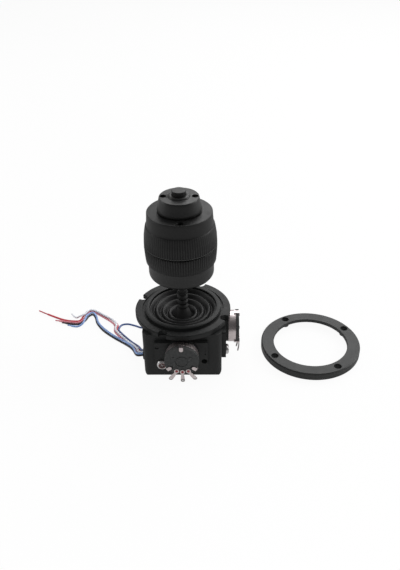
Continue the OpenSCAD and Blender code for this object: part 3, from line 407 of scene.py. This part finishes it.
# %% [markdown]
# ## Making pieces
# One helper finishes a mesh and puts it on the body that it moves with. The other two copy a
# piece of the construction: its loose triangles are welded into one skin, so that its fillets
# shade smoothly and its hard edges can get the small radius that every real moulding and
# stamping has.

# %% Piece helpers
def keep(bm, name, material, body, stands_for=(), sharp=35):
    """Turns a bmesh in metres into a finished piece that rides on a body."""
    mesh = bpy.data.meshes.new(name)
    bm.to_mesh(mesh)
    bm.free()
    mesh.shade_smooth()
    mesh.set_sharp_from_angle(angle=math.radians(sharp))
    mesh.materials.append(material)
    piece = bpy.data.objects.new(name, mesh)
    bpy.context.scene.collection.objects.link(piece)
    if body:
        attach(piece, body)
    if stands_for:
        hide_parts(*stands_for)
    return piece


def welded(node):
    """A copy of a construction piece, with its loose triangles joined into one skin."""
    bm = bmesh.new()
    bm.from_mesh(frame["nodes"][node].data)
    bmesh.ops.remove_doubles(bm, verts=bm.verts, dist=0.001 * MM)
    return bm


def softened(node, material, edge_mm, sharp=35):
    """A construction piece whose hard edges get a small radius, or none where it is 0."""
    body = next(b for b, nodes in frame["record"]["behaviour"]["bodies"].items()
                if node in nodes)
    piece = keep(welded(node), node + "_skin", material, body, [node], sharp)
    if edge_mm:
        bevel = piece.modifiers.new("edge", "BEVEL")
        bevel.width = edge_mm * MM
        bevel.segments = 3
        bevel.limit_method = "ANGLE"
        bevel.angle_limit = math.radians(40)
        bevel.harden_normals = True
    level = piece.modifiers.new("level", "WEIGHTED_NORMAL")
    level.keep_sharp = True
    return piece


# %% [markdown]
# ## The rubber boot
# The boot is one skin of nitrile rubber with four round folds that rise towards the rim, so
# that it looks like rings of ripples in a shallow bowl. A ribbed neck grips the stick. It
# has to follow the stick in two directions, and the stick turns in the cradle, which turns
# in the base. So the skin is made in two rings that meet on a fold's crest: the outer one
# bends between base and cradle, the inner one between cradle and stick. How much a point
# follows is set by its distance from the middle.

# %% Sizes of the boot
rim_top = corners("top_flange")[1].z
clamp_width = 2.5
clamp_setback = 0.4                   # from the edge of the well to the clamp ring
well_radius = corners("boot_clamp_ring")[1].x - clamp_width - clamp_setback
fold_crest = 7.2                      # radius of the innermost fold's crest
fold_pitch = 3.65
fold_depth = 2.0
crest_below_rim = 3.1                 # of the innermost crest
bowl_rise = 0.32                      # how steeply the crests climb towards the rim
valley_narrowing = 1.4                # 1 is a plain wave, more gives wide crests
rubber = 0.9
thin_rubber = 0.35                    # the inner folds, which come close to the yoke
stick_radius = corners("stem")[1].x
seam_radius = fold_crest + fold_pitch
neck_top = corners("dust_boot")[1].z
print("the boot's well is", round(2 * well_radius, 1), "mm wide")

# %% Folds and turned skins
def fold_height(r):
    """Height of the boot's upper face at distance r from the stick."""
    crest = rim_top - crest_below_rim + bowl_rise * (r - fold_crest)
    drop = (1 - math.cos(math.tau * (r - fold_crest) / fold_pitch)) / 2
    return crest - fold_depth * drop ** valley_narrowing


def fold_line(r_from, r_to, below=0.0, steps_per_fold=20):
    """Outline points along the folds, between two distances from the stick."""
    count = max(2, round(abs(r_to - r_from) / fold_pitch * steps_per_fold))
    radii = [r_from + (r_to - r_from) * i / count for i in range(count + 1)]
    return [(r, fold_height(r) - below) for r in radii]


def spun(outline, turns=128):
    """A closed skin: an outline of (radius, height) points in mm, spun round the stick."""
    bm = bmesh.new()
    points = [bm.verts.new((r * MM, 0, z * MM)) for r, z in outline]
    lines = [bm.edges.new(pair) for pair in zip(points, points[1:] + points[:1])]
    bmesh.ops.spin(bm, geom=points + lines, cent=(0, 0, 0), axis=(0, 0, 1), angle=math.tau,
                   steps=turns, use_merge=True)
    bmesh.ops.remove_doubles(bm, verts=bm.verts, dist=0.002 * MM)
    bmesh.ops.recalc_face_normals(bm, faces=bm.faces)
    return bm


print("folds are", round(fold_height(fold_crest) - fold_height(fold_crest - fold_pitch / 2), 2),
      "mm deep at the neck")

# %% Outlines of the two skins
rim_radius = fold_crest + 3 * fold_pitch
bead_height = 1.4
seat = rim_top - bead_height
outer_outline = (
    fold_line(seam_radius, rim_radius)
    + [(rim_radius + 0.3, rim_top + 0.3), (rim_radius + 0.35, rim_top - 0.05),
       (well_radius + 1.8, rim_top - 0.05), (well_radius + 1.8, seat), (well_radius - 0.1, seat),
       (well_radius - 0.1, seat - 0.2)]
    + fold_line(rim_radius - 0.35, seam_radius, below=rubber))

# The neck is a steep cone where it leaves the folds, then round ribs up the stick.
valley = fold_crest - fold_pitch / 2
foot_height = rim_top + 0.2
rib_pitch = 3.1
rib_height = 0.8
rib_roundness = 0.7                   # 1 is a plain wave, less gives fuller ribs
lowest_rib = 1.0                      # its crest, above the foot
neck_wall = 0.2
step_up = 0.2
ribs = []
height = foot_height
while height < neck_top - 0.1:
    swell = 0.5 + 0.5 * math.cos(math.tau * (height - foot_height - lowest_rib) / rib_pitch)
    ribs.append((stick_radius + neck_wall + rib_height * swell ** rib_roundness, height))
    height += step_up
inner_outline = (
    [(stick_radius + 0.05, neck_top - 0.1), (stick_radius + 0.05, rim_top - 2.6),
     (stick_radius + 1.4, rim_top - 3.4)]
    + fold_line(valley, seam_radius, below=thin_rubber)
    + fold_line(seam_radius, valley)
    + [(stick_radius + 2.7, rim_top - 4.2), (stick_radius + 2.0, rim_top - 2.4),
       (stick_radius + 1.2, rim_top - 0.8)]
    + ribs + [(stick_radius + neck_wall, neck_top)])
print("outlines have", len(outer_outline), "and", len(inner_outline), "points")

# %% Boot rings and how they bend
still_rim = 0.6                       # width of the outer skin's rim that doesn't bend
still_neck = 1.3                      # thickness of the neck that goes wholly with the stick


def follow_by_radius(piece, fixed_radius, moving_radius):
    """Writes how far each point follows the moving body, by its distance from the stick."""
    follow = piece.data.attributes["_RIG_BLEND"]
    for i, vertex in enumerate(piece.data.vertices):
        r = math.hypot(vertex.co.x, vertex.co.y) / MM
        share = (fixed_radius - r) / (fixed_radius - moving_radius)
        follow.data[i].value = min(1.0, max(0.0, share))


outer_boot = keep(spun(outer_outline), "boot_outer_folds", nitrile_rubber, None,
                  ["dust_boot"], sharp=60)
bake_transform(outer_boot, "base", "cradle", start=(0, 0, rim_top * MM), end=(0, 0, seat * MM))
follow_by_radius(outer_boot, rim_radius - still_rim, seam_radius)
inner_boot = keep(spun(inner_outline), "boot_inner_folds", nitrile_rubber, None,
                  ["dust_boot"], sharp=60)
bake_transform(inner_boot, "cradle", "stick", start=(0, 0, rim_top * MM), end=(0, 0, neck_top * MM))
follow_by_radius(inner_boot, seam_radius, stick_radius + still_neck)

# The neck and its foot are duller than the folds.
inner_boot.data.materials.append(matte_rubber)
for face in inner_boot.data.polygons:
    if math.hypot(face.center.x, face.center.y) / MM < valley:
        face.material_index = 1
print("boot has", len(outer_boot.data.polygons) + len(inner_boot.data.polygons), "faces")

# %% [markdown]
# ## Casing, flange and knob
# These are the big black surfaces, and small radii make or break them: a moulded edge
# catches a thin line of light. The ribs of the grip bands are already cut in the
# construction, but they are shallow and fine. Their finish paints their light and shade: it
# follows them round the knob with the same number of waves, painted light on the crests and
# painted shade, nearly black, between them, and a slow noise keeps the waves from being all
# alike. Where cap and cup part, a smooth rim is painted lighter as a painted highlight and
# shines a little.

# %% Finish of the grip bands, with painted light and shade on the ribs
grip_radius = corners("twist_cap")[1].x
band_depth = 1.5                      # faces this near the widest radius belong to a band
rib_count = 92                        # as many as the construction cuts

nylon_with_painted_rib_shade, tree, where = blank("nylon_with_painted_rib_shade")
around = add(tree, "SeparateXYZ", {"Vector": where})
angle = add(tree, "Math", {0: around.outputs["Y"], 1: around.outputs["X"]},
            operation="ARCTAN2")
turns = add(tree, "Math", {0: angle.outputs["Value"]}, operation="MULTIPLY")
turns.inputs[1].default_value = rib_count
crest = add(tree, "Math", {0: turns.outputs["Value"]}, operation="COSINE")
rub = add(tree, "TexNoise", {"Vector": where}, Scale=1 / (4 * MM), Detail=4.0)
uneven_rib_shade = add(tree, "MapRange", {"Value": rub.outputs["Fac"]}, From_Min=0.3, From_Max=0.7,
           To_Min=-0.25, To_Max=0.25)
share = add(tree, "Math", {0: crest.outputs["Value"], 1: uneven_rib_shade.outputs["Result"]},
            operation="ADD")
spread = add(tree, "MapRange", {"Value": share.outputs["Value"]}, From_Min=-1.0,
             From_Max=1.2)
# Painted shade: the ramp is nearly black for the valleys between the ribs, and lighter, as painted light,
# for their crests.
tone = add(tree, "ValToRGB", {"Fac": spread.outputs["Result"]})
tone.color_ramp.elements[0].color = paint("#020202")
tone.color_ramp.elements[1].color = paint("#232323")
gloss = add(tree, "MapRange", {"Value": rub.outputs["Fac"]}, From_Min=0.3, From_Max=0.7,
            To_Min=0.46, To_Max=0.58)
skin = add(tree, "BsdfPrincipled", {"Base Color": tone.outputs["Color"],
                                    "Roughness": gloss.outputs["Result"]}, IOR=1.36)
add(tree, "OutputMaterial", {"Surface": skin.outputs["BSDF"]})


def finish_grip(piece, parting, rim):
    """Gives the ribs their finish of painted light and shade, and a rim painted lighter as a painted
    highlight next to the height of the parting.
    """
    bm = bmesh.new()
    bm.from_mesh(piece.data)
    bmesh.ops.bisect_plane(bm, geom=bm.verts[:] + bm.edges[:] + bm.faces[:],
                           dist=0.001 * MM, plane_co=(0, 0, (parting + rim) * MM),
                           plane_no=(0, 0, 1))
    bm.to_mesh(piece.data)
    bm.free()
    piece.data.materials.append(nylon_with_painted_rib_shade)
    piece.data.materials.append(rim_nylon_painted_highlight)
    for face in piece.data.polygons:
        if math.hypot(face.center.x, face.center.y) / MM > grip_radius - band_depth:
            # Faces next to the parting get the lighter rim finish, a painted highlight.
            near = abs(face.center.z / MM - parting) < abs(rim)
            face.material_index = 2 if near else 1
    print(piece.name, "has", sum(f.material_index > 0 for f in piece.data.polygons),
          "rib faces")


# %% [markdown]
# ## The housing's feet
# The left and right sides of the real housing roll softly into its underside, twice as wide
# as the 1.2 mm of the construction. The sides are sliced into bands near the floor, and each
# point that lies outside a wider quarter circle moves onto it. Every other edge stays as it
# is.

# %% Round lower edges of the housing
foot_radius = 2.4
arc_steps = 6


def round_feet(piece, radius):
    """Rolls the housing's sides into its underside: points beyond the arc move onto it."""
    low, high = corners("housing")
    side = min(high.x, -low.x)
    bm = bmesh.new()
    bm.from_mesh(piece.data)
    cuts = [((0, 0, radius), (0, 0, 1)), ((side - radius, 0, 0), (1, 0, 0)),
            ((radius - side, 0, 0), (1, 0, 0))]
    for turn in range(1, arc_steps):
        lean = math.radians(90 * turn / arc_steps)
        cuts.append(((0, 0, radius * (1 - math.cos(lean))), (0, 0, 1)))
    for place, facing in cuts:
        bmesh.ops.bisect_plane(bm, geom=bm.verts[:] + bm.edges[:] + bm.faces[:],
                               dist=0.001 * MM, plane_co=Vector(place) * MM,
                               plane_no=facing)
    for vertex in bm.verts:
        x, z = vertex.co.x / MM, vertex.co.z / MM
        if abs(x) > side - radius and z < radius and abs(x) < side + 0.1:
            out, down = abs(x) - (side - radius), radius - z
            reach = math.hypot(out, down)
            if reach > radius:
                vertex.co.x = math.copysign(side - radius + out * radius / reach, x) * MM
                vertex.co.z = (radius - down * radius / reach) * MM
    bm.to_mesh(piece.data)
    bm.free()
    piece.data.shade_smooth()
    piece.data.set_sharp_from_angle(angle=math.radians(35))


# %% [markdown]
# ## Details that the construction leaves plain
# On the real piece the groove round the clamp ring is wider and the solder lugs lie back
# towards the housing. Both move points of the visible copy. The lugs' lower ends are painted a
# darker grey as painted shade, and on a few faces the flat of each plate screw's head is painted
# dark brown as a painted reflection.

# %% Wider groove, bent lugs with painted shade, screw heads with painted reflection
groove_wall = 0.9                     # from the clamp ring to the groove's outer wall
groove_reach = 0.8                    # the groove ends above this depth


def widen_groove(piece, wider):
    """Moves the outer wall of the groove round the clamp ring outwards."""
    wall = corners("boot_clamp_ring")[1].x + groove_wall
    for vertex in piece.data.vertices:
        r = math.hypot(vertex.co.x, vertex.co.y) / MM
        if abs(r - wall) < 0.06 and vertex.co.z / MM > rim_top - groove_reach:
            vertex.co.x *= (wall + wider) / wall
            vertex.co.y *= (wall + wider) / wall


bend_steps = 7
bend_spacing = 0.7
bend_curve = 1.3                      # 1 is a straight slope, more curls the end
shade_below_bend = 2.6                    # from the start of the bend down to the painted shade


def lay_back(piece, side, slope):
    """Bends the lugs' lower ends towards the housing, from the disc's edge down."""
    edge = corners(side + "_pot_disc")[0].z - 0.2
    bm = bmesh.new()
    bm.from_mesh(piece.data)
    for step in range(bend_steps):
        level = (edge - bend_spacing * step) * MM
        bmesh.ops.bisect_plane(bm, geom=bm.verts[:] + bm.edges[:] + bm.faces[:],
                               dist=0.001 * MM, plane_co=(0, 0, level), plane_no=(0, 0, 1))
    for vertex in bm.verts:
        below = max(0.0, edge - vertex.co.z / MM)
        shift = slope * below ** bend_curve * MM
        if side == "front":
            vertex.co.y += shift
        else:
            vertex.co.x -= shift
    bm.to_mesh(piece.data)
    bm.free()
    # The lugs' lowest ends are painted a darker grey: painted shade where they bend back.
    piece.data.materials.append(lug_tip_painted_shade)
    for face in piece.data.polygons:
        if face.center.z / MM < edge - shade_below_bend:
            face.material_index = 1


crown_radius = 2.0
slot_depth = 0.4                      # faces deeper than this lie in the driver's slots


def paint_crown_reflection(piece, side):
    """Paints the flat of the screw's head dark brown as a painted reflection; the rim and the driver's slots
    stay bright.
    """
    low, high = corners(side + "_plate_screw")
    middle = (low + high) / 2
    along = 1 if side == "front" else 0
    crown = low.y + slot_depth if side == "front" else high.x - slot_depth
    # The dark brown finish is a painted reflection on the flat of the head.
    piece.data.materials.append(screw_crown_painted_reflection)
    for face in piece.data.polygons:
        away = face.center / MM - middle
        away[along] = 0.0
        outside = abs(face.center[along]) / MM > abs(crown)
        if away.length < crown_radius and outside and abs(face.normal[along]) > 0.9:
            face.material_index = 1


# %% [markdown]
# ## The visible rigid pieces
# Each one gets its finish and the small edge radius that its making leaves, in millimetres:
# up to 0.22 on mouldings and less on metal. The clamp ring, the cup and the cap keep the
# edges that they have in the construction.

# %% Rigid pieces with softened edges
round_feet(softened("housing", spark_grained_abs, 0.12), foot_radius)
softened("bottom_cover", spark_grained_abs, 0.15)
widen_groove(softened("top_flange", flange_abs, 0.22), 0.6)
softened("boot_clamp_ring", flange_abs, 0)
softened("front_pot_plate", spark_grained_abs, 0.2)
softened("side_pot_plate", spark_grained_abs, 0.2)
softened("mounting_ring", ring_abs, 0.12)
finish_grip(softened("lower_cup", cup_nylon, 0), corners("lower_cup")[1].z, -0.35)
finish_grip(softened("twist_cap", satin_nylon, 0), corners("twist_cap")[0].z, 0.3)
softened("knob_head", head_nylon, 0.1)
softened("push_button", button_abs, 0.12)
softened("cable_grommet", nitrile_rubber, 0.1)
for side in ("front", "side"):
    softened(side + "_pot_can", nickel_silver, 0.16)
    softened(side + "_pot_disc", phenolic, 0.14)
    lay_back(softened(side + "_pot_lugs", tinned_brass, 0.06), side, 0.14)
    softened(side + "_pot_rivets", red_lacquer, 0.1)
    paint_crown_reflection(softened(side + "_plate_screw", zinc_plate, 0.06), side)

# %% [markdown]
# ## Pieces that stay as built
# The rest is the mechanism inside and a few plain metal parts. Their shape is right as it
# is, so each keeps its own skin and only gets its finish.

# %% Finishes for the mechanism
as_built = {
    acetal: ("journal_bushes", "cradle", "slotted_yoke", "stick_hub", "tail_slider"),
    ground_steel: ("pivot_pins", "front_pot_shaft", "side_pot_shaft", "twist_pot_shaft"),
    painted_tube: ("stem",),
    zinc_plate: ("case_screws", "plate_posts_screws"),
    spring_wire: ("cradle_spring", "yoke_spring", "twist_spring", "cap_snap_ring"),
    blackened_steel: ("cup_set_screw", "twist_stop_screw"),
    passivated_steel: ("twist_pot_plate",),
    blue_thermoset: ("twist_pot_body",),
    lead_bundle: ("stem_leads",),
    button_abs: ("button_switch",),
}
for finish, nodes in as_built.items():
    for node in nodes:
        own_skin = frame["nodes"][node].data
        own_skin.materials.clear()
        own_skin.materials.append(finish)
print("finished", sum(map(len, as_built.values())), "pieces as built")

# %% [markdown]
# ## The button's return spring
# The coil under the button has to shorten when the button goes down. Here it is only welded
# into one skin that rides with the twist body, and nothing makes it shorten.

# %% Return spring
coil = keep(welded("button_spring"), "button_spring_coil", spring_wire, "twist",
            ["button_spring"])
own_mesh(coil)

# %% [markdown]
# ## Floor
# A plain pale floor of white paper, with a faint fibre. Most of what the camera sees of it is
# an even white glow, and the rest is the paper itself, which takes the shadow. Reflections
# see that glow at about half its brightness.

# %% Floor
floor_drop = 0.3                      # the floor lies this far below the feet
floor_glow = 0.93                     # share of glow in what camera and reflections see
mirrored_glow = 0.52                  # brightness of that glow in reflections

floor_mesh = bpy.data.meshes.new("floor")
bm = bmesh.new()
bmesh.ops.create_grid(bm, x_segments=1, y_segments=1, size=4.0)
bm.to_mesh(floor_mesh)
bm.free()
floor = bpy.data.objects.new("floor", floor_mesh)
floor.location.z = -floor_drop * MM
bpy.context.scene.collection.objects.link(floor)

floor_paper, tree, where = blank("white_paper")
seen = add(tree, "LightPath")
fibre = add(tree, "TexNoise", {"Vector": where}, Scale=900.0, Detail=2.0)
lift = add(tree, "Bump", {"Height": fibre.outputs["Fac"]}, Strength=0.05, Distance=0.0002)
paper = add(tree, "BsdfDiffuse", {"Normal": lift.outputs["Normal"]}, Color=paint("#f4f4f4"))
bright = add(tree, "MapRange", {"Value": seen.outputs["Is Camera Ray"]},
             To_Min=mirrored_glow, To_Max=1.0)
glow = add(tree, "Emission", {"Strength": bright.outputs["Result"]}, Color=paint("#ffffff"))
looked_at = add(tree, "Math", {0: seen.outputs["Is Camera Ray"],
                               1: seen.outputs["Is Glossy Ray"]}, operation="MAXIMUM")
part = add(tree, "Math", {0: looked_at.outputs["Value"]}, operation="MULTIPLY")
part.inputs[1].default_value = floor_glow
blend = add(tree, "MixShader", {"Fac": part.outputs["Value"], 1: paper.outputs["BSDF"],
                                2: glow.outputs["Emission"]})
add(tree, "OutputMaterial", {"Surface": blend.outputs["Shader"]})
floor_mesh.materials.append(floor_paper)
print("floor lies", floor_drop, "mm below the feet")

# %% [markdown]
# ## Light
# Four wide, soft lamps: one above and slightly behind, which gives the faces that look up
# their sheen, one on each side, which draws the light edges of the round shapes, and a weak
# one in front for the faces turned to the camera. The camera sees the surroundings as white.
# All other rays find them dimmer, and dimmer still towards the front, and the front lamp
# doesn't show in reflections, so that the faces turned to the camera stay dark.

# %% World and lamps
world = bpy.data.worlds.new("studio")
bpy.context.scene.world = world
world.use_nodes = True
tree = world.node_tree
tree.nodes.clear()
seen = add(tree, "LightPath")
facing = add(tree, "TexCoord").outputs["Generated"]
depth = add(tree, "SeparateXYZ", {"Vector": facing})
fall = add(tree, "MapRange", {"Value": depth.outputs["Y"]}, From_Min=-0.5, From_Max=0.7,
           To_Min=0.09, To_Max=0.6)
ambient = add(tree, "Background", {"Strength": fall.outputs["Result"]}, Color=paint("#ffffff"))
backdrop = add(tree, "Background", Color=paint("#ffffff"), Strength=1.0)
blend = add(tree, "MixShader", {"Fac": seen.outputs["Is Camera Ray"],
                                1: ambient.outputs["Background"],
                                2: backdrop.outputs["Background"]})
out = tree.nodes.new("ShaderNodeOutputWorld")
tree.links.new(blend.outputs["Shader"], out.inputs["Surface"])

lit_point = Vector((0.01, 0, 0.05))


def softbox(name, at, size, watts, mirrored=True):
    """A wide square lamp, placed in metres, that faces the middle of the joystick."""
    lamp = bpy.data.lights.new(name, "AREA")
    lamp.size = size
    lamp.energy = watts
    holder = bpy.data.objects.new(name, lamp)
    holder.location = at
    aim = lit_point - Vector(at)
    holder.rotation_euler = aim.to_track_quat("-Z", "Y").to_euler()
    holder.visible_glossy = mirrored
    bpy.context.scene.collection.objects.link(holder)


softbox("lamp_behind", (0.25, 0.75, 0.75), 0.8, 5.0)
softbox("lamp_left", (-0.8, 0.1, 0.3), 0.5, 1.4)
softbox("lamp_right", (0.8, 0.2, 0.4), 0.5, 4.0)
softbox("lamp_front", (0.05, -0.55, 0.5), 0.35, 2.0, mirrored=False)
bpy.context.scene.view_settings.view_transform = "Standard"
print(len(bpy.data.lights), "lamps stand round the joystick")

# %% [markdown]
# ## Closing

# %% Finish
bpy.context.view_layer.update()
